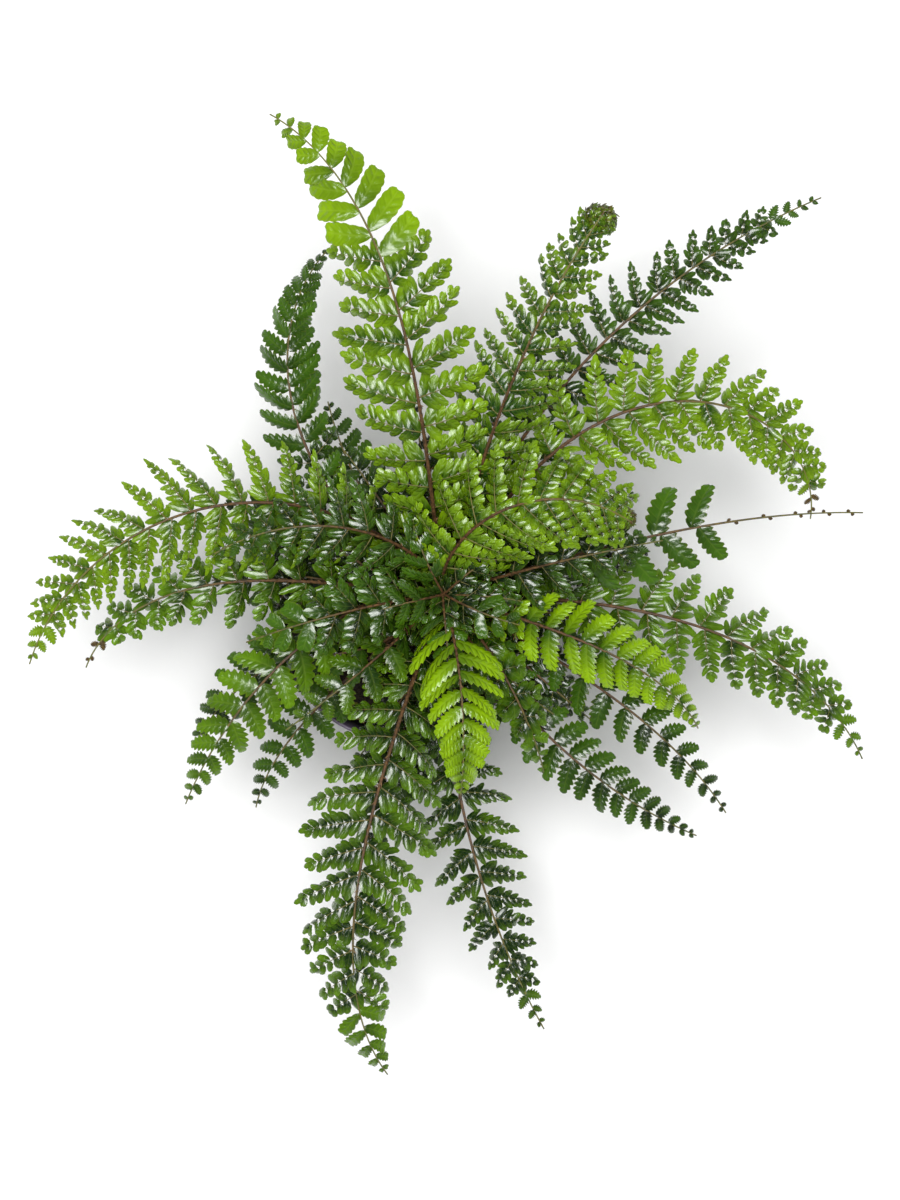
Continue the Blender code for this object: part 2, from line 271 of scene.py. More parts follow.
def blades(place, along, normal, length, width, form, rows=5, columns=4, tone=0.5, age=0.0, veins=4.0):
    # A leaf is a lens between two skins that share its outline. With u along and v across it:
    # half width = width/2 u^foot (1-u)^point, cut in by depth between the teeth,
    # height = -cup v v half - arch length u u + pucker between the veins, all turned by twist u about the axis.
    count = len(place)
    get = lambda key, usual=0.0: np.broadcast_to(np.asarray(form.get(key, usual), float), (count,))[:, None, None]
    teeth = form.get("teeth", 0)
    u = np.linspace(0, 1, rows + 1)
    if not teeth:
        u = u - 0.35 * np.sin(2 * np.pi * u) / (2 * np.pi)
    u, v = u[None, :, None], np.linspace(-1, 1, columns + 1)[None, None, :]
    foot, point = get("foot", 0.5), get("point", 0.5)
    peak = foot / (foot + point)
    half = (0.015 + 0.985 * u) ** foot * (1.012 - u) ** point / (peak ** foot * (1 - peak) ** point)
    half = half * np.asarray(width)[:, None, None] / 2
    lobe = np.ones_like(u)
    if teeth:
        part = (u * teeth) % 1.0
        part[:, -1] = 0
        lobe = np.sin(np.pi * part ** form.get("skew", 1.0)) ** form.get("blunt", 0.6)
    half = half * (1 - get("depth") * (1 - lobe))
    ear = get("ear") * np.sign(v) * np.sign(get("fore", 1.0))
    eared, cutBack = np.maximum(ear, 0), np.maximum(-ear, 0)
    half = half * (1 + eared * np.exp(-(((u - 0.1) / 0.14) ** 2)) - cutBack * 0.4 * (u < 0.16))
    long = np.asarray(length)[:, None, None]
    x = u * long + get("lean") * half * v * v
    y = v * half + get("bend") * long * u * u
    z = (-get("cup") * v * v * half - get("arch") * long * u ** 2.2
         + get("pucker") * half * lobe * 4 * np.abs(v) * (1 - np.abs(v)) + get("fold") * np.abs(v) * half)
    wave = np.sin(u * get("waves", 2.0) * 2 * np.pi + get("phase"))
    z = z + get("ripple") * half * v * wave
    turn = get("twist") * u
    y, z = y * np.cos(turn) - z * np.sin(turn), y * np.sin(turn) + z * np.cos(turn)
    across = np.cross(normal, along)
    thick = get("thick", 0.34 * mm) / 2
    full = (place[:, None, None, :] + x[..., None] * along[:, None, None] + y[..., None] * across[:, None, None]
            + z[..., None] * normal[:, None, None])
    inner = np.zeros((rows + 1, columns + 1))
    inner[1:-1, 1:-1] = 1
    lift = (inner[None] * thick)[..., None] * normal[:, None, None]
    top, low = full + lift, (full - lift)[:, 1:-1, 1:-1]
    points = np.concatenate([top.reshape(count, -1, 3), low.reshape(count, -1, 3)], 1)
    grid = np.arange((rows + 1) * (columns + 1)).reshape(rows + 1, columns + 1)
    under = grid.copy()
    under[1:-1, 1:-1] = grid.size + np.arange((rows - 1) * (columns - 1)).reshape(rows - 1, columns - 1)
    cells = gridFaces(rows, columns)
    topFaces = grid[cells[..., 0], cells[..., 1]]
    lowFaces = under[cells[..., 0], cells[..., 1]][:, ::-1]
    faces = np.concatenate([topFaces, lowFaces])
    spots = np.concatenate([cells, cells[:, ::-1]]) / (rows, columns)
    outline = np.concatenate([1 - inner.ravel(), np.zeros((rows - 1) * (columns - 1))]).astype(bool)
    shades = np.stack([np.broadcast_to(np.asarray(value, float), (count,)) for value in (tone, age)], 1)
    made = packFaces(points, faces, spots, outline, shades, np.repeat((0.0, 1.0), len(cells)), spots, veins, 2)
    made["facts"][:, 0] += form.get("fade", 0.4) * (made["spots"][:, 0] - 0.55)  # darker towards the foot: partly the leaf's own colour, partly painted shade where the leaf's base lies under its neighbours
    return made


def packFaces(points, faces, spots, outline, shades, sides, marks, veins, sheets):
    # the same faces for each of count shapes, with each shape's facts and its own cells of the bake map
    count, size = points.shape[:2]
    faceCount = len(faces)
    allFaces = (faces[None] + (np.arange(count) * size)[:, None, None]).reshape(-1, 4)
    facts = np.zeros((count, faceCount, 4, 3))
    facts[..., :2] = shades[:, None, None, :]
    facts[..., 2] = sides[None, :, None]
    reach = np.broadcast_to(np.asarray(veins, float), (count,))
    maps = np.broadcast_to(marks, (count, faceCount, 4, 2)).copy()
    maps[..., 0] *= reach[:, None, None]
    cell = np.arange(count)[:, None] * sheets + (np.arange(faceCount) * sheets // faceCount)[None]
    return dict(points=points.reshape(-1, 3), faces=allFaces, facts=facts.reshape(-1, 3),
                maps=maps.reshape(-1, 2), spots=np.broadcast_to(spots, (count, faceCount, 4, 2)).reshape(-1, 2),
                cell=np.repeat(cell.ravel(), 4), cells=count * sheets, outline=np.tile(outline, count))


capSpots = [[[0, 0], [0.01, 0], [0.01, 1], [0, 1]]]  # where a cap's faces lie in the bake map


def tubes(path, right, up, radius, sides, share):
    # a ring of points carried along each path: path + radius (right cos a + up sin a), both ends closed by strips
    count, steps = path.shape[:2]
    turn = 2 * np.pi * np.arange(sides) / sides
    ring = right[:, :, None] * np.cos(turn)[:, None] - up[:, :, None] * np.sin(turn)[:, None]
    points = (path[:, :, None] + radius[:, :, None, None] * ring).reshape(count, -1, 3)
    cells = gridFaces(steps - 1, sides)
    faces = cells[..., 0] * sides + cells[..., 1] % sides
    k = np.arange(sides // 2 - 1)
    cap = np.stack([k, k + 1, sides - 2 - k, sides - 1 - k], 1)
    faces = np.concatenate([faces, cap, (steps - 1) * sides + cap[:, ::-1]])
    spots = np.concatenate([cells / (steps - 1, sides), np.tile(capSpots, (2 * len(k), 1, 1))])
    made = packFaces(points, faces, spots, np.zeros(steps * sides, bool), np.zeros((count, 2)),
                     np.full(len(faces), 0.5), spots, 1.0, 1)
    corner = np.minimum(faces // sides, steps - 1)
    made["facts"][:, 0] = share[:, corner].reshape(-1)
    return made


def paint(made, index):
    made["material"] = index
    return made


def buildPiece(name, sets, materials, long=None):
    # joins sets of faces into one mesh. The bake map gives each shape a cell, and the long one a strip.
    cellTotal = sum(made["cells"] for made in sets if made is not long)
    columns = max(1, math.ceil(math.sqrt(cellTotal * 0.75)))
    lines = max(1, math.ceil(cellTotal / columns))
    strip = 0.035 if long else 0  # its share of the bake map's height
    faces, bakes = [], []
    start = used = 0
    for made in sets:
        faces.append(made["faces"] + start)
        start += len(made["points"])
        spots = 0.06 + 0.88 * made["spots"]
        if made is long:
            bakes.append(spots * (1, strip))
            continue
        cell = made["cell"] + used
        used += made["cells"]
        bakes.append(np.stack([(cell % columns + spots[:, 0]) / columns,
                               strip + (1 - strip) * (cell // columns + spots[:, 1]) / lines], 1))
    points, facts, maps, outline = [np.concatenate([made[key] for made in sets])
                                    for key in ("points", "facts", "maps", "outline")]
    faces = np.concatenate(faces)
    slots = np.concatenate([np.full(len(made["faces"]), made.get("material", 0)) for made in sets])
    mesh = bpy.data.meshes.new(name)
    mesh.vertices.add(len(points))
    mesh.vertices.foreach_set("co", points.ravel())
    mesh.loops.add(faces.size)
    mesh.loops.foreach_set("vertex_index", faces.ravel().astype(np.int32))
    mesh.polygons.add(len(faces))
    mesh.polygons.foreach_set("loop_start", np.arange(0, faces.size, 4, dtype=np.int32))
    mesh.polygons.foreach_set("material_index", slots.astype(np.int32))
    mesh.polygons.foreach_set("use_smooth", np.ones(len(faces), bool))
    mesh.update(calc_edges=True)
    ends = np.zeros(2 * len(mesh.edges), np.int32)
    mesh.edges.foreach_get("vertices", ends)
    mesh.edges.foreach_set("use_edge_sharp", outline[ends.reshape(-1, 2)].all(1))
    held = mesh.attributes.new("leafFacts", "FLOAT_VECTOR", "CORNER")
    held.data.foreach_set("vector", facts.ravel())
    mesh.uv_layers.new(name="leafUv").data.foreach_set("uv", maps.ravel())
    mesh.uv_layers.new(name="OFBake").data.foreach_set("uv", np.concatenate(bakes).ravel())
    for material in materials:
        mesh.materials.append(material)
    piece = newObject(name, mesh)
    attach(piece, "root")
    return piece


# The fronds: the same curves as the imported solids, with real pinnae, pinnules, ribs and chaff on them

crown = dict(centre=np.array((18, 9, 90)) * mm, radius=16 * mm, gap=0.3 * mm)
curveSteps = 240


def direction(heading, rise):
    return np.stack([np.cos(rise) * np.cos(heading), np.cos(rise) * np.sin(heading), np.sin(rise)], -1)


def frondAngles(spec, share):
    # heading = heading + turn share^swing, rise falls evenly to fall, and a coil winds the last part
    heading = spec["heading"] + spec["turn"] * share ** spec["swing"]
    rise = spec["rise"] + (spec["fall"] - spec["rise"]) * share
    if "coil" in spec:
        wound = np.maximum(0, (share - 0.84) / 0.16)
        rise = rise - spec["coil"] * wound ** 1.6
        heading = heading + 14 * wound
    return np.radians(heading), np.radians(rise)


def frondCurve(spec):
    # place, forward, right and up of the rachis as a function of the share of its length
    start = crown["centre"] + (crown["radius"] + crown["gap"]) * direction(*frondAngles(spec, np.zeros(1)))[0]
    middles = (np.arange(curveSteps) + 0.5) / curveSteps
    steps = direction(*frondAngles(spec, middles)) * spec["length"] * mm / curveSteps
    places = start + np.concatenate([np.zeros((1, 3)), np.cumsum(steps, 0)])
    knots = np.arange(curveSteps + 1) / curveSteps
    lean = math.radians(spec["tilt"])

    def at(share):
        place = np.stack([np.interp(share, knots, places[:, axis]) for axis in range(3)], -1)
        heading, rise = frondAngles(spec, share)
        forward = direction(heading, rise)
        right = np.stack([np.sin(heading), -np.cos(heading), np.zeros_like(heading)], -1)
        up = np.cross(right, forward)
        across = right * math.cos(lean) + up * math.sin(lean)
        return place, forward, across, up * math.cos(lean) - right * math.sin(lean)
    return at


def jitter(count, amount):
    return chance.uniform(-amount, amount, count)


# How the pinnae are cut. pitch is the width of a pinnule in mm, fill how much of that its leaf takes, reach its
# length against the gap between pinnae, cut the share of the blade where pinnae stop being cut to the midrib.
# fade darkens every leaf towards its foot, partly its own colour and partly painted shade
usualCut = dict(pitch=4.5, fill=0.95, reach=0.6, foot=0.4, point=0.4, angle=68, nick=0.1, hook=0.06, taper=0.6,
                shoulder=2.4, end=0.62, cut=0.0, teeth=6, depth=0.3, blunt=0.8, skew=1.6, simpleFoot=0.3,
                simplePoint=0.6, wide=0.85, stout=0.52, pucker=0.06, fade=0.5)
cuts = {
    "rounded": dict(fill=1.1, reach=0.66, foot=0.26, point=0.36, angle=60, cut=0.5, end=0.42, simpleFoot=0.5,
                    teeth=5, depth=0.09, simplePoint=0.34, blunt=0.5, skew=1.0, wide=0.74, stout=0.56),
    "fringed": dict(pitch=3.6, fill=1.1, reach=0.66, foot=0.14, angle=64, cut=0.86, taper=0.72, shoulder=1.7,
                    hook=0.1, end=0.4, depth=0.45, skew=1.4, wide=0.8),
    "squared": dict(pitch=4.1, fill=1.12, reach=0.56, foot=0.14, point=0.2, angle=76, cut=0.92, taper=0.55,
                    nick=0.06, simplePoint=0.5, blunt=0.6, skew=1.0, wide=0.9),
    "pointed": dict(pitch=3.6, fill=1.14, reach=0.66, foot=0.13, point=0.5, angle=58, cut=0.84, taper=0.78,
                    shoulder=1.3, hook=0.12, end=0.3, depth=0.45, simplePoint=0.75, blunt=0.85),
    "scalloped": dict(simplePoint=0.46, blunt=0.6, skew=1.0, stout=0.46),
    "broad": dict(pitch=5.0, angle=70, teeth=7, depth=0.34, simplePoint=0.4, blunt=0.7, wide=1.15, stout=0.5,
                  fade=1.3),
    "lance": dict(angle=60, depth=0.36, skew=1.4, wide=1.02),
}
cuts = {name: dict(usualCut, **own) for name, own in cuts.items()}

# Each frond in its whorl: slot, cutting, tone, length in mm, heading, turn and swing of the curve, rise at the
# crown, fall at the tip, bare share of the stalk, longest pinna in mm, pairs and droop, then its own extras: more
# pairs, grow the pinnae, slim to the tip, sweep them forwards, roll them loose or like shingles, and so on.
usualFrond = dict(more=1.0, grow=1.0, slim=0.4, sweep=0, loose=0.27, shingle=8, chaff=1.0, tilt=0, sag=0.12,
                  trim={})
frondColumns = "slot cutting tone length heading turn swing rise fall bare pinna pairs droop".split()
whorls = {
    "inner": [
        ("young", "rounded", 0.62, 262, 96, 52, 3.0, 62, -28, 0.3, 32, 18, 8, dict(tilt=5, more=0.98,
         grow=1.08, slim=0.55, trim=dict(wide=0.9, stout=0.6))),
        ("young", "fringed", 0.5, 232, 74, -26, 2.0, 54, -4, 0.28, 27, 15, 22, dict(coil=560, ball=7.6,
         chaff=2.2)),
        ("young", "fringed", 0.72, 250, 58, -152, 2.0, 52, -39, 0.32, 31, 17, 2, dict(wilt=0.9,
         more=1.05)),
        ("young", "squared", 0.66, 166, 101, -156, 1.0, 84, -42, 0.22, 27, 14, 16, dict(more=0.86,
         grow=1.3, loose=0.1, coil=420, ball=5.2, chaff=1.6)),
        ("young", "broad", 0.8, 153, -17, -45, 3.0, 64, -50, 0.28, 19, 11, 16, dict(more=1.5, grow=1.08,
         loose=0.3, shingle=20)),
        ("young", "broad", 0.95, 122, -70, -26, 1.0, 86, -47, 0.14, 24, 11, 18, dict(more=1.6, grow=1.12,
         loose=0.32, shingle=22, chaff=1.5)),
        ("young", "pointed", 0.7, 238, 130, 120, 1.0, 46, -24, 0.27, 35, 18, 14, dict(more=1.05)),
    ],
    "middle": [
        ("grown", "fringed", 0.7, 217, -2, -62, 2.0, 36, -28, 0.26, 28, 15, 16, dict(more=1.05)),
        ("old", "scalloped", 0.5, 198, 17, -18, 2.0, 46, -16, 0.24, 27, 11, 18, dict(stubs=0.62)),
        ("grown", "rounded", 0.5, 104, -46, -30, 1.0, 62, -50, 0.4, 13, 7, 12, {}),
        ("grown", "pointed", 0.35, 203, -90, 28, 1.0, 30, -26, 0.3, 26, 15, 14, {}),
        ("grown", "rounded", 0.5, 243, -109, 52, 3.0, 52, -38, 0.27, 34, 18, 14, dict(chaff=1.4,
         trim=dict(cut=0.74, depth=0.22, pitch=4.0))),
        ("grown", "lance", 0.5, 170, 170, 76, 0.5, 52, -38, 0.29, 24, 13, 17, {}),
        ("old", "pointed", 0.6, 138, 110, 100, 0.8, 72, -22, 0.34, 25, 10, 16, {}),
        ("grown", "fringed", 0.7, 176, 174, 74, 3.0, 42, -18, 0.34, 22, 11, 12, dict(wilt=0.85)),
        ("old", "lance", 0.45, 92, 228, -66, 1.0, 56, -30, 0.22, 24, 9, 20, {}),
        ("old", "rounded", 0.6, 112, 186, 14, 1.0, 78, -34, 0.24, 21, 9, 6, {}),
        ("old", "pointed", 0.5, 118, 18, -8, 1.0, 68, -10, 0.26, 22, 9, 14, {}),
        ("grown", "lance", 0.3, 104, -134, -10, 1.0, 66, -29, 0.2, 20, 9, 8, dict(start=0.34)),
        ("old", "rounded", 0.3, 100, 150, 16, 1.0, 34, -10, 0.34, 19, 8, 12, {}),
        ("old", "pointed", 0.3, 92, 34, -16, 1.0, 34, -14, 0.3, 18, 7, 12, {}),
    ],
    "outer": [
        ("old", "pointed", 0.6, 256, 69, -46, 1.0, 40, -14, 0.35, 25, 17, 7, dict(more=1.2, slim=0.5)),
        ("old", "lance", 0.35, 163, -29, -28, 2.0, 36, -30, 0.33, 19, 12, 12, {}),
        ("old", "lance", 0.35, 158, -60, 36, 1.0, 29, -28, 0.33, 19, 14, 12, {}),
        ("old", "rounded", 0.4, 112, -106, 0, 1.0, 22, -16, 0.34, 22, 9, 12, dict(start=0.34)),
        ("old", "lance", 0.45, 130, -139, 36, 3.0, 36, -40, 0.42, 18, 9, 16, dict(start=0.42)),
        ("old", "scalloped", 0.45, 136, -162, 46, 2.0, 36, -38, 0.48, 17, 9, 12, {}),
        ("old", "rounded", 0.35, 96, 172, 10, 1.0, 30, -10, 0.42, 20, 7, 12, {}),
        ("old", "lance", 0.5, 191, 144, -95, 1.5, 42, -29, 0.43, 19, 13, 14, dict(sweep=-12, more=1.2,
         grow=1.15, shingle=14, loose=0.3)),
        ("old", "scalloped", 0.35, 95, 134, -30, 1.0, 32, -18, 0.42, 18, 7, 12, {}),
    ],
}
fronds = [dict(usualFrond, name=f"{whorl}_frond_{number}", **dict(zip(frondColumns, row)), **row[-1])
          for whorl, rows in whorls.items() for number, row in enumerate(rows, 1)]
for frond in fronds:
    frond["slot"] += "_frond"


def pinnaSpread(spec):
    # where the pinnae stand: a little closer together towards the tip, the left row half a step behind
    leafyEnd = 0.83 if "coil" in spec else 0.99
    start = spec.get("start", 0.36 * spec["bare"])
    pairs = round(spec["pairs"] * spec["more"] * 0.84 * (leafyEnd - start) / (leafyEnd - spec["bare"]))
    step = np.repeat((np.arange(pairs) + 0.5) / pairs, 2)
    side = np.tile((1.0, -1.0), pairs)
    step = np.clip(step + side * 0.1 / pairs, 0, 1)
    share = start + (leafyEnd - start) * (0.45 * step + 0.55 * (1 - (1 - step) ** 1.5))
    gap = (leafyEnd - start) * spec["length"] * mm / pairs * (0.45 + 0.825 * np.sqrt(1 - step))
    leafy = (share - spec["bare"]) / (1 - spec["bare"])
    swell = np.clip(0.78 + leafy, 0.5, 1)
    leafy = np.maximum(leafy, 0)
    full = spec["pinna"] * spec["grow"] * mm
    taper = (1 - leafy ** (1.9 - 0.5 * spec["slim"])) ** (0.6 + 0.4 * spec["slim"])
    reach = np.maximum(3.2 * mm, full * swell * taper)
    reach = reach * (1 + jitter(len(share), 0.08))
    return share, side, gap, leafy, reach


def pinnaRibs(spec, curve, share, side, leafy, reach):
    # the midrib of each pinna: place + reach (t along + t t (curl forward - sag normal))
    place, forward, right, up = curve(share)
    sweep = np.radians(82 - 36 * leafy + spec["sweep"] + jitter(len(share), 6))[:, None]
    droop = np.radians(spec["droop"] - 4 + jitter(len(share), 5))[:, None]
    outward = side[:, None] * right * np.cos(droop) - up * np.sin(droop)
    normal = side[:, None] * right * np.sin(droop) + up * np.cos(droop)
    along = forward * np.cos(sweep) + outward * np.sin(sweep)
    curl = (0.08 + jitter(len(share), 0.05))[:, None]
    sag = (spec["sag"] + jitter(len(share), 0.07))[:, None]
    normal = spun(normal, along, side * np.radians(spec["shingle"]) + jitter(len(share), spec["loose"]))

    def at(t):
        # t has one row for each pinna
        t = t[..., None]
        long = reach[:, None, None]
        fore, down = forward[:, None] * curl[:, None], normal[:, None] * sag[:, None]
        spot = place[:, None] + long * (t * along[:, None] + t * t * (fore - down))
        ahead = unit(along[:, None] + 2 * t * (fore - down))
        across = unit(np.cross(np.broadcast_to(normal[:, None], ahead.shape), ahead))
        return spot, ahead, across, np.cross(ahead, across)
    return at


def pinnules(spec, cut, ribs, side, gap, reach, leafy, tone, age):
    # leaves along both sides of each cut pinna, fewer and smaller towards its tip, and one at its end
    number = np.clip(np.round(reach / (cut["pitch"] * mm)), 2, 9)
    most = int(number.max())
    order = np.arange(most)[None, :] + 0.42
    t = 0.005 + 0.93 * order / number[:, None]
    real = np.arange(most)[None, :] < number[:, None]
    spot, ahead, across, normal = ribs(np.minimum(t, 1.0))
    rows = []
    for hand in (1.0, -1.0):
        fore = hand * side[:, None] > 0  # the side that faces the frond's tip
        first = (np.arange(most)[None, :] == 0) & fore
        angle = np.radians(cut["angle"] - 14 * t + jitter(t.shape, 7))[..., None]
        axis = ahead * np.cos(angle) + hand * across * np.sin(angle)
        tip = np.radians(8 + jitter(t.shape, 12))[..., None]
        axis, up = axis * np.cos(tip) - normal * np.sin(tip), normal
        up = square(up, axis)
        up = spun(up, axis, hand * np.radians(-9) + jitter(t.shape, 0.2))
        size = cut["reach"] * gap[:, None] * (1 - cut["taper"] * t ** cut["shoulder"])
        size = size * (1 + jitter(t.shape, 0.1))
        size = size * np.where(first, 1.3, 1.0)
        width = cut["fill"] * 0.86 * reach[:, None] / number[:, None]
        width = width * (1 - 0.25 * t ** 3) * np.where(first, 1.15, 1)
        # the tone falls towards the rachis: partly the pinnules' own colour, partly painted shade near the rachis
        rows.append([array[real] for array in (spot, axis, up, size, width, tone[:, None] - 0.3 * (1 - t),
                                               age[:, None] + 0 * t, hand + 0 * t)])
    spot, axis, up, size, width, shade, old, hands = [np.concatenate(pair) for pair in zip(*rows)]
    count = len(size)
    form = dict(foot=cut["foot"] + jitter(count, 0.05), point=cut["point"] + jitter(count, 0.05),
                cup=0.42 + jitter(count, 0.22), arch=0.2 + jitter(count, 0.2), twist=jitter(count, 0.4),
                bend=-hands * (cut["hook"] + jitter(count, 0.05)), lean=0.2, ripple=jitter(count, 0.2), waves=1.0,
                phase=jitter(count, 3.1), thick=0.3 * mm, teeth=3, depth=cut["nick"], blunt=0.5, fold=0.12,
                fade=0.6)
    made = [blades(spot, axis, up, size, width, form, 6, 4, shade + jitter(count, 0.1), old, 3.0)]
    spot, ahead, across, normal = ribs(np.full((len(reach), 1), 0.82))
    count = len(reach)
    form = dict(foot=0.36, point=max(0.5, cut["point"] + 0.1), cup=0.3, arch=0.2 + jitter(count, 0.15), lean=0.3,
                thick=0.3 * mm, depth=0.14, teeth=3, blunt=0.6)
    made.append(blades(spot[:, 0], ahead[:, 0], normal[:, 0], np.maximum(0.24 * reach, 1.5 * mm),
                       cut["end"] * cut["reach"] * gap, form, 6, 4, tone, age, 3.0))
    return made


def simplePinnae(spec, cut, ribs, side, gap, reach, leafy, tone, age):
    # undivided pinnae: one lobed leaf each, eared on the side that faces the frond's tip
    spot, ahead, across, normal = ribs(np.zeros((len(reach), 1)))
    count = len(reach)
    teeth = cut["teeth"]
    wide = np.minimum(cut["wide"] * gap, cut["stout"] * reach + 0.9 * mm)
    form = dict(foot=cut["simpleFoot"] + 0.05 * leafy, point=cut["simplePoint"] + jitter(count, 0.06), ear=0.28,
                teeth=teeth, depth=cut["depth"], blunt=cut["blunt"], skew=cut["skew"], fore=side,
                cup=0.22 + jitter(count, 0.12), arch=spec["sag"] + 0.08 + jitter(count, 0.1),
                bend=side * (0.1 + jitter(count, 0.04)), lean=0.34,
                pucker=cut["pucker"], twist=jitter(count, 0.22), ripple=jitter(count, 0.1), waves=1.5,
                phase=jitter(count, 3.1), thick=0.36 * mm, fold=0.1, fade=cut["fade"])
    return [blades(spot[:, 0], ahead[:, 0], normal[:, 0], reach, wide, form, 3 * teeth, 4,
                   tone + jitter(count, 0.05), age, float(teeth))]


def asChaff(made, number):
    # the facts of brown scales: each has its own luck, which shades it
    luck = np.repeat(chance.random(number), len(made["faces"]) // number * 4)
    made["facts"][:] = np.stack([np.zeros_like(luck), np.ones_like(luck), luck], 1)
    return made


def chaffScales(spec, curve, number, low, high, longest=4.2, tight=1.0):
    # thin brown scales that stand out from the stalk and point up along it, most of them near the crown
    share = low + (high - low) * chance.random(number) ** 1.35
    place, forward, right, up = curve(share)
    turn = chance.uniform(0, 2 * np.pi, number)
    outward = right * np.cos(turn)[:, None] + up * np.sin(turn)[:, None]
    thick = stalkRadius(spec, share)[:, None]
    rise = (0.55 + jitter(number, 0.35))[:, None] * tight
    onward = forward * (0.75 + jitter(number, 0.35)[:, None])
    axis = unit(outward * rise + onward + 0.2 * chance.normal(size=(number, 3)))
    normal = square(outward, axis)
    length = longest * mm * (0.45 + 0.55 * chance.random(number)) * (1 - 0.45 * share)
    form = dict(foot=0.25, point=0.9, arch=0.25 + jitter(number, 0.3), cup=0.4, twist=jitter(number, 1.2),
                bend=jitter(number, 0.25), thick=0.12 * mm)
    made = blades(place + outward * thick * 0.75, axis, normal, length, length * 0.24, form, 3, 2)
    return asChaff(made, number)


def stalkRadius(spec, share):
    # a little under half of 1.5 mm and 0.42% of the length, thinning to 0.8 mm before the tip
    stipe = (1.5 + 0.0042 * spec["length"]) * mm
    return 0.42 * (stipe + (0.8 * mm - stipe) * np.minimum(1, share * 1.15))


def crozier(spec, curve, tone):
    # the unopened tip: a ball of small leaves thatched round the wound end, and a few loose ones on its neck
    ball, size = spec["ball"] * mm, 380
    centre = curve(np.linspace(0.93, 1, 9))[0].mean(0)
    rise = np.arcsin(np.linspace(-0.96, 0.96, size))
    around = np.arange(size) * math.radians(goldenTurn)
    outward = direction(around, rise)
    swirl = unit(np.cross(outward, np.array((0.4, -0.5, 0.77))) + 0.35 * chance.normal(size=(size, 3)))
    axis = unit(swirl + 0.25 * outward)
    normal = square(outward, axis)
    spot = centre + outward * ball * np.array((1.1, 0.95, 0.8)) * (0.86 + jitter(size, 0.08)[:, None])
    length = ball * (0.34 + jitter(size, 0.08))
    form = dict(foot=0.35, point=0.5, cup=0.6, arch=0.35, thick=0.3 * mm, fade=0.9)
    leaves = blades(spot, axis, normal, length, length * 0.55, form, 4, 2, tone - 0.1 + jitter(size, 0.3),
                    0.42 + jitter(size, 0.16), 2.0)
    number = 12
    share = 0.845 + 0.08 * (np.repeat(np.arange(number // 2), 2) + 0.5) / (number / 2)
    side = np.tile((1.0, -1.0), number // 2)
    place, forward, right, up = curve(share)
    axis = unit(side[:, None] * right * 0.9 + forward * 0.45 - up * 0.2)
    normal = square(up, axis)
    reach = np.full(number, 0.75 * ball) * (1 + jitter(number, 0.2))
    form = dict(foot=0.3, point=0.5, teeth=3, depth=0.35, cup=0.5, arch=0.5, pucker=0.1, thick=0.4 * mm, lean=0.2)
    loose = blades(place, axis, normal, reach, reach * 0.5, form, 9, 4, tone - 0.15 + jitter(number, 0.15),
                   0.1 + jitter(number, 0.14), 3.0)
    return [leaves, loose]


def frondSets(spec):
    curve = frondCurve(spec)
    cut = dict(cuts[spec["cutting"]], **spec["trim"])
    share, side, gap, leafy, reach = pinnaSpread(spec)
    tone = spec["tone"] + jitter(len(share), 0.09)
    age = np.maximum(0, jitter(len(share), 0.22) - 0.1)
    if "wilt" in spec:  # the tip has dried: leaves shrink and brown
        dried = np.clip((share - spec["wilt"]) / 0.06, 0, 1)
        reach, age, tone = reach * (1 - 0.3 * dried), age + 0.8 * dried, tone - 0.3 * dried
    if "stubs" in spec:  # the leaves of the last part have dropped off
        lost = share > spec["stubs"]
        reach = np.where(lost, 2.0 * mm, reach)
        gap = np.where(lost, 3.0 * mm, gap)
        age = np.where(lost, 0.8, age)
    ribs = pinnaRibs(spec, curve, share, side, leafy, reach)
    divided = (leafy < cut["cut"] + jitter(len(share), 0.03)) & (reach > 6 * mm)
    sets = []
    for chosen, make in ((divided, pinnules), (~divided, simplePinnae)):
        if chosen.any():
            sets += make(spec, cut, pinnaPick(ribs, chosen),
                         *[array[chosen] for array in (side, gap, reach, leafy, tone, age)])
    if "coil" in spec:
        sets += crozier(spec, curve, spec["tone"])
    if divided.any():
        t = np.broadcast_to(np.linspace(0, 0.9, 7), (divided.sum(), 7))
        spot, ahead, across, normal = pinnaPick(ribs, divided)(t)
        thin = 0.32 * mm * (1.05 - t) * np.sqrt(reach[divided] / (24 * mm))[:, None]
        sets.append(paint(tubes(spot, across, normal, thin, 4, 0.75 + 0.25 * t), 1))
    number = round(0.5 * spec["length"] * spec["chaff"])
    far = 0.42 if spec["chaff"] <= 1 else 0.72
    sets.append(paint(chaffScales(spec, curve, number, 0.0, far, 3.2), 1))
    if "coil" in spec:
        sets.append(paint(chaffScales(spec, curve, 150, 0.86, 1.0, 2.4, 1.2), 1))
    way = np.linspace(0, 1, 121)
    place, forward, right, up = curve(way)
    stalk = paint(tubes(place[None], right[None], up[None], stalkRadius(spec, way)[None], 8, way[None]), 1)
    return sets + [stalk], stalk


def leafAndStalk(slot):
    return [leafMaterials[slot], stalkMaterials[slot]]


def growFrond(spec):
    sets, stalk = frondSets(spec)
    piece = buildPiece(spec["name"].replace("_frond_", "Frond"), sets, leafAndStalk(spec["slot"]), stalk)
    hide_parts(spec["name"])


def pinnaPick(ribs, chosen):
    # the ribs of only the chosen pinnae
    def at(t):
        whole = np.zeros((len(chosen), t.shape[1]))
        whole[chosen] = t
        return [array[chosen] for array in ribs(whole)]
    return at


for frond in fronds:
    growFrond(frond)


# Short leaves between the fronds hide the crown: each turned on from the last, the low ones darker
undergrowth = dict(count=22, shortest=46, longest=92, turn=goldenTurn, over=6, steep=80, shallow=34, pinna=19,
                   pairs=9)


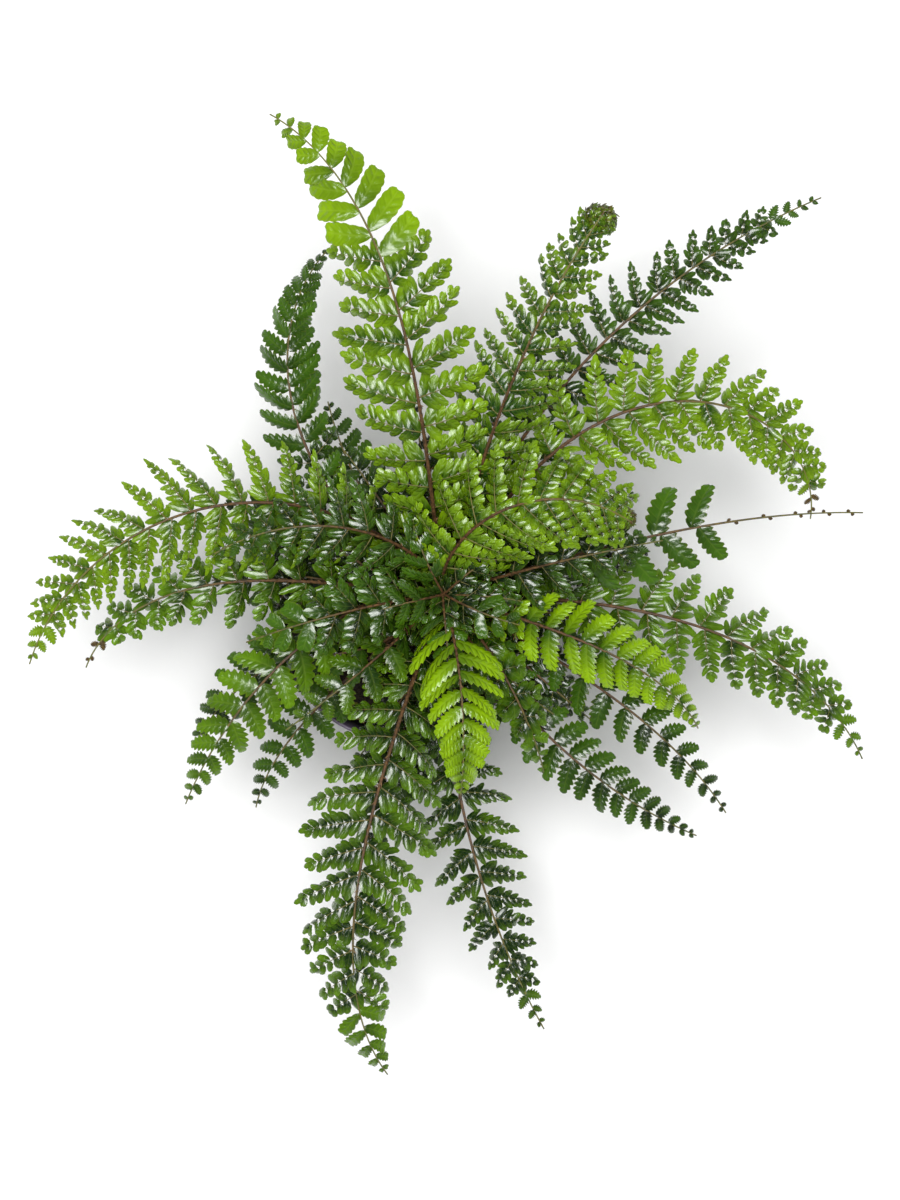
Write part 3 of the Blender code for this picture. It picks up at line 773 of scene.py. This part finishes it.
def growUndergrowth(look):
    # the first few rise past upright and arch back over the middle, the rest lean out and down
    halves = [], []
    for number in range(look["count"]):
        low = (number + 0.5) / look["count"]
        heading = look["turn"] * number + chance.uniform(-12, 12)
        heading += 50 if 200 < heading % 360 < 250 and low > 0.3 else 0  # bare soil shows here
        rise = 104 if number < look["over"] else look["steep"] + (look["shallow"] - look["steep"]) * low
        spec = dict(usualFrond, slot="old_frond", cutting=("pointed", "lance", "rounded")[number % 3],
                    tone=0.55 - 0.4 * low,
                    length=look["shortest"] + (look["longest"] - look["shortest"]) * (0.35 + 0.65 * low),
                    heading=heading, turn=chance.uniform(-35, 35), swing=1.0,
                    rise=rise, fall=-30 - 8 * low, bare=0.14, start=0.06, droop=14,
                    pinna=look["pinna"] * (0.85 + 0.3 * chance.random()), pairs=look["pairs"], chaff=0.5)
        halves[number % 2].extend(frondSets(spec)[0])
    for number, sets in enumerate(halves, 1):
        piece = buildPiece(f"undergrowth{number}", sets, leafAndStalk("old_frond"))


growUndergrowth(undergrowth)


# The pot, the soil and the crown

pot = dict(height=100, rim=60, lipHeight=7, lipOverhang=2.2, foot=41, wall=1.2, base=1.5, round=192)
soil = dict(top=88, lump=1.6, crumbs=900)


def wallRadius(height):
    # outer radius of the pot's wall at a height, in mm
    return pot["foot"] + (pot["rim"] - pot["lipOverhang"] - pot["foot"]) * height / pot["height"]


def lathed(profile, around, lift=None):
    # profile points (radius, height) in mm turned about the upright axis. It starts and ends on small rings,
    # which strips of faces close
    radius, height = np.array(profile, float).T * mm
    turn = 2 * np.pi * np.arange(around) / around
    x, y = radius[:, None] * np.cos(turn), radius[:, None] * np.sin(turn)
    z = np.broadcast_to(height[:, None], x.shape).copy()
    if lift is not None:
        z = z + lift(x, y, z)
    return np.stack([x, y, z], -1)


def closedRings(rings):
    # a stack of rings of points joined into one closed skin, facing outwards
    steps, around = rings.shape[:2]
    cells = gridFaces(steps - 1, around)
    faces = (cells[..., 0] * around + cells[..., 1] % around)[:, ::-1]
    k = np.arange(around // 2 - 1)
    cap = np.stack([k, k + 1, around - 2 - k, around - 1 - k], 1)
    spots = np.concatenate([cells[:, ::-1] / (steps - 1, around), np.tile(capSpots, (2 * len(k), 1, 1))])
    faces = np.concatenate([faces, cap[:, ::-1], (steps - 1) * around + cap])
    return packFaces(rings.reshape(1, -1, 3), faces, spots, np.zeros(steps * around, bool),
                     np.zeros((1, 2)), np.full(len(faces), 0.5), spots, 1.0, 1)


def potPiece():
    height, rim, foot = pot["height"], pot["rim"], pot["foot"]
    lip = height - pot["lipHeight"]
    under = wallRadius(lip)
    rolled = [(rim - 0.9 + 0.9 * math.cos(a), height - 0.9 + 0.9 * math.sin(a))
              for a in np.radians(np.arange(0, 181, 20))]
    wall = [(wallRadius(h) + 0.12 * math.sin(h * 0.9) * (10 < h < 80), h) for h in np.linspace(4, lip - 1.2, 60)]
    profile = ([(0.4, 0), (20, 0), (foot - 2, 0), (foot - 0.8, 0.3), (foot + 0.1, 1.4)] + wall
               + [(under, lip), (under + 0.5, lip + 0.25), (rim - 0.35, lip + 0.3), (rim, lip + 0.8),
                  (rim, height - 3)] + rolled)
    inner = [(wallRadius(h) - pot["wall"], h) for h in np.linspace(height - 2.2, 5, 30)]
    corner = wallRadius(pot["base"]) - pot["wall"] - 1.5
    profile += inner + [(radius, pot["base"]) for radius in (corner, 20, 0.4)]
    piece = buildPiece("pot_wall", [closedRings(lathed(profile, pot["round"]))], [potMaterial()])
    holes = []
    for turn in 2 * np.pi * (np.arange(8) + 0.5) / 8:
        ring = [(0.2, -2), (4, -2), (4, 3), (0.2, 3)]
        holes.append(closedRings(lathed(ring, 24) + np.array((30 * math.cos(turn), 30 * math.sin(turn), 0)) * mm))
    cutter = buildPiece("drain_cutter", holes, [])
    cut = piece.modifiers.new("drains", "BOOLEAN")
    cut.operation, cut.solver, cut.object = "DIFFERENCE", "EXACT", cutter
    solid = bpy.data.meshes.new_from_object(piece.evaluated_get(bpy.context.evaluated_depsgraph_get()))
    piece.modifiers.clear()
    piece.data = solid
    bpy.data.objects.remove(cutter)
    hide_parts("pot")


def potMaterial():
    made, tree, surface = newMaterial("blackPot", (0.02, 0.02, 0.024))
    dirt = placeGroup(tree, grime, Base=(0.010, 0.010, 0.012, 1), Dust=(0.16, 0.14, 0.13, 1), Amount=0.35,
                      Scale=420.0)
    height = split(tree, ownPlace(tree))[2]
    rim = ease(tree, height, 0.0975, 0.0998)  # the top of the rolled rim is painted paler purple-grey, a painted highlight where the light catches it
    colour = blendColour(tree, rim, dirt.outputs["Colour"], (0.13, 0.10, 0.16, 1))
    rough = ease(tree, dirt.outputs["Mask"], 0.0, 0.3, 0.34, 0.7)
    dress(tree, surface, colour, rough, dirt.outputs["Height"], 0.06 * mm)
    return made


def soilWave(x, y, seed, waves, low, high):
    # a sum of sines with random directions: a smooth but irregular surface, about -1 to 1
    draw = np.random.default_rng(seed)
    turn, size, shift = [draw.uniform(*span, waves) for span in ((0, np.pi), (low, high), (0, 6.28))]
    phase = (x[..., None] * np.cos(turn) + y[..., None] * np.sin(turn)) * size + shift
    return np.sin(phase).sum(-1) / math.sqrt(waves)


def soilTop(x, y):
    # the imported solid's soft lumps with finer ones on them, level under the crown
    away = np.hypot(x - crown["centre"][0], y - crown["centre"][1])
    fade = np.clip((away - 20 * mm) / (8 * mm), 0, 1)
    wave = np.sin(x * 190 + 1) * np.sin(y * 230 + 2) + 0.5 * np.sin(x * 410 + y * 330)
    return soil["lump"] * mm * fade * wave / 1.5 + fade * 0.35 * mm * soilWave(x, y, 3, 24, 700, 2600)


def soilPiece():
    low = pot["base"] + 0.3
    edge = wallRadius(soil["top"]) - pot["wall"] - 0.3
    side = [(wallRadius(h) - pot["wall"] - 0.3, h) for h in np.linspace(low + 3, soil["top"] - 2.5, 12)]
    profile = [(0.4, low), (30, low), (wallRadius(low) - pot["wall"] - 2.3, low)] + side
    profile += [(edge * share, soil["top"]) for share in np.linspace(0.985, 0.01, 60)]

    def lift(x, y, z):
        return np.where(z > (soil["top"] - 1) * mm, soilTop(x, y), 0)
    bed = closedRings(lathed(profile, 192, lift))
    # crumbs of peat and grit: cubes pushed out to rough balls, pressed into the bed
    count = soil["crumbs"]
    radius = (wallRadius(soil["top"]) - pot["wall"] - 3) * mm * np.sqrt(chance.random(count))
    turn = chance.uniform(0, 2 * np.pi, count)
    x, y = radius * np.cos(turn), radius * np.sin(turn)
    size = mm * (0.5 + 1.5 * chance.random(count) ** 2.5)
    node = np.stack(np.meshgrid((-1, 0, 1), (-1, 0, 1), (-1, 0, 1), indexing="ij"), -1).reshape(-1, 3)
    shell = np.abs(node).max(1) == 1
    number = np.full(27, -1)
    number[shell] = np.arange(shell.sum())
    faces = []
    for axis in range(3):
        for sign in (-1, 1):
            b, c = (axis + 1) % 3, (axis + 2) % 3
            for q in (-1, 0):
                for r in (-1, 0):
                    ring = []
                    for dq, dr in ((0, 0), (1, 0), (1, 1), (0, 1)):
                        spot = [0, 0, 0]
                        spot[axis], spot[b], spot[c] = sign, q + dq, r + dr
                        ring.append(number[(spot[0] + 1) * 9 + (spot[1] + 1) * 3 + spot[2] + 1])
                    faces.append(ring if sign > 0 else ring[::-1])
    ball = unit(node[shell].astype(float))
    shape = ball[None] * (size[:, None, None] * (0.8 + 0.45 * chance.random((count, shell.sum(), 1))))
    shape = shape * (0.7 + 0.6 * chance.random((count, 1, 3)))
    points = shape + np.stack([x, y, soil["top"] * mm + soilTop(x, y) + size * 0.25], -1)[:, None]
    pale = (chance.random(count) < 0.05).astype(float)
    corners = np.tile([[[0, 0], [1, 0], [1, 1], [0, 1]]], (24, 1, 1)) / 5 + (np.arange(24)[:, None, None] % 5) / 5
    crumbs = packFaces(points, np.array(faces), np.clip(corners, 0, 1), np.zeros(shell.sum(), bool),
                       np.stack([pale, chance.random(count)], 1), np.full(24, 0.5), corners, 1.0, 1)
    piece = buildPiece("soil_bed", [bed, crumbs], [soilMaterial()], bed)
    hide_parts("soil")


def soilMaterial():
    made, tree, surface = newMaterial("pottingSoil", (0.04, 0.026, 0.016))
    pale, luck, _ = leafFacts(tree)
    dirt = placeGroup(tree, grime, Base=(0.016, 0.010, 0.006, 1), Dust=(0.09, 0.055, 0.03, 1), Amount=0.9,
                      Scale=650.0)
    shade = blendColour(tree, times(tree, luck, 0.5), dirt.outputs["Colour"], (0.05, 0.03, 0.018, 1))
    colour = blendColour(tree, pale, shade, (0.42, 0.4, 0.36, 1))
    rough = ease(tree, dirt.outputs["Mask"], 0.0, 0.6, 0.82, 0.97)
    dress(tree, surface, colour, rough, dirt.outputs["Height"], 0.6 * mm)
    return made


def crownPiece():
    # the dome that the fronds leave, thatched with overlapping brown scales
    rise = np.radians(np.linspace(-5.5, 86, 14))
    floorHeight = (soil["top"] + 0.3) * mm
    turn = 2 * np.pi * np.arange(40) / 40
    radius = (crown["radius"] - 0.9 * mm) * (1 + 0.02 * np.sin(5 * turn[None] + 3 * rise[:, None]))
    x, y = radius * np.cos(rise)[:, None] * np.cos(turn), radius * np.cos(rise)[:, None] * np.sin(turn)
    dome = np.stack([x, y, radius * np.sin(rise)[:, None] + 0 * x], -1) + crown["centre"]
    dome[..., 2] = np.maximum(dome[..., 2], floorHeight)
    body = closedRings(dome)
    body["facts"][:] = (0.0, 1.0, 0.1)
    number = 420
    lift = np.arcsin(0.02 + 0.93 * (np.arange(number) + 0.5) / number)
    around = np.arange(number) * math.radians(goldenTurn) + jitter(number, 0.2)
    outward = direction(around, lift)
    upward = unit(np.array((0, 0, 1.0)) - outward * outward[:, 2:3])
    axis = unit(upward + 0.35 * outward + 0.25 * chance.normal(size=(number, 3)))
    normal = square(outward, axis)
    length = mm * chance.uniform(3.5, 6.5, number)
    form = dict(foot=0.25, point=0.8, arch=jitter(number, 0.3), cup=0.4, twist=jitter(number, 0.8),
                thick=0.18 * mm)
    scales = blades(crown["centre"] + outward * (crown["radius"] - 1.0 * mm), axis, normal, length, length * 0.34,
                    form, 3, 2)
    asChaff(scales, number)
    piece = buildPiece("crown_scales", [body, scales], [stalkMaterials["old_frond"]], body)
    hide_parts("crown")


potPiece()
soilPiece()
crownPiece()
print("pot, soil and crown done")


# One dead leaf that has dropped onto the soil against the rim
def fallenLeaf():
    place = np.array([(-38, -33, 90.8)]) * mm
    along = unit(np.array([(0.75, -0.62, 0.12)]))
    normal = unit(np.cross(along, unit(np.array([(-0.62, -0.75, 0.1)]))) * -1)
    form = dict(foot=0.3, point=0.6, teeth=7, depth=0.28, cup=0.4, arch=-0.1, pucker=0.3, twist=0.7, ear=0.3,
                fore=1, thick=0.4 * mm, lean=0.3)
    long, wide = np.array([27 * mm]), np.array([9 * mm])
    made = blades(place, along, normal * np.sign(normal[:, 2:3]), long, wide, form, 21, 6, 0.5, 0.62, 7.0)
    piece = buildPiece("fallen_leaf", [made], [leafMaterials["grown_frond"]])


fallenLeaf()


# Floor, light and camera

softboxes = [(0.2, 118, 1.1, 60.0), (1.05, 40, 0.24, 4.0), (1.15, -20, 0.24, 3.6), (1.05, -80, 0.24, 4.0),
             (1.1, 215, 0.24, 4.0), (1.05, 160, 0.24, 4.6)]  # metres out, degrees around, size in metres, watts
setting = dict(place=(0.0214, 0.0065, 1.6), lens=96.75, floorSize=6.0, paper=0.92, sky=0.14)


def studio():
    mesh = bpy.data.meshes.new("floor")
    size = setting["floorSize"]
    corners = [(-size, -size, 0), (size, -size, 0), (size, size, 0), (-size, size, 0)]
    mesh.from_pydata(corners, [], [(0, 1, 2, 3)])
    paper, _, surface = newMaterial("paper", (0.95, 0.95, 0.95), Roughness=0.9)
    surface.inputs["Base Color"].default_value = (setting["paper"], setting["paper"], setting["paper"], 1)
    mesh.materials.append(paper)
    newObject("floor", mesh)
    for number, (out, around, size, watts) in enumerate(softboxes):
        light = bpy.data.lights.new(f"softbox{number}", "AREA")
        light.size, light.energy = size, watts
        made = newObject(light.name, light)
        turn = math.radians(around)
        made.location = place = (out * math.cos(turn), out * math.sin(turn), 2.3 - 0.35 * out)
        x, y, z = unit(np.array((0.02, 0.01, 0.1)) - place)
        made.rotation_euler = (math.acos(-z), 0, math.atan2(x, -y))
    world = bpy.data.worlds.new("sky")
    world.use_nodes = True
    sky = world.node_tree.nodes["Background"]
    sky.inputs["Color"].default_value = (1, 1, 1, 1)
    sky.inputs["Strength"].default_value = setting["sky"]
    bpy.context.scene.world = world
    view = bpy.data.cameras.new("camera")
    view.lens, view.sensor_width, view.clip_end = setting["lens"], 36, 20
    camera = newObject("camera", view)
    camera.location = setting["place"]
    bpy.context.scene.camera = camera
    bpy.context.scene.view_settings.view_transform = "Standard"


studio()
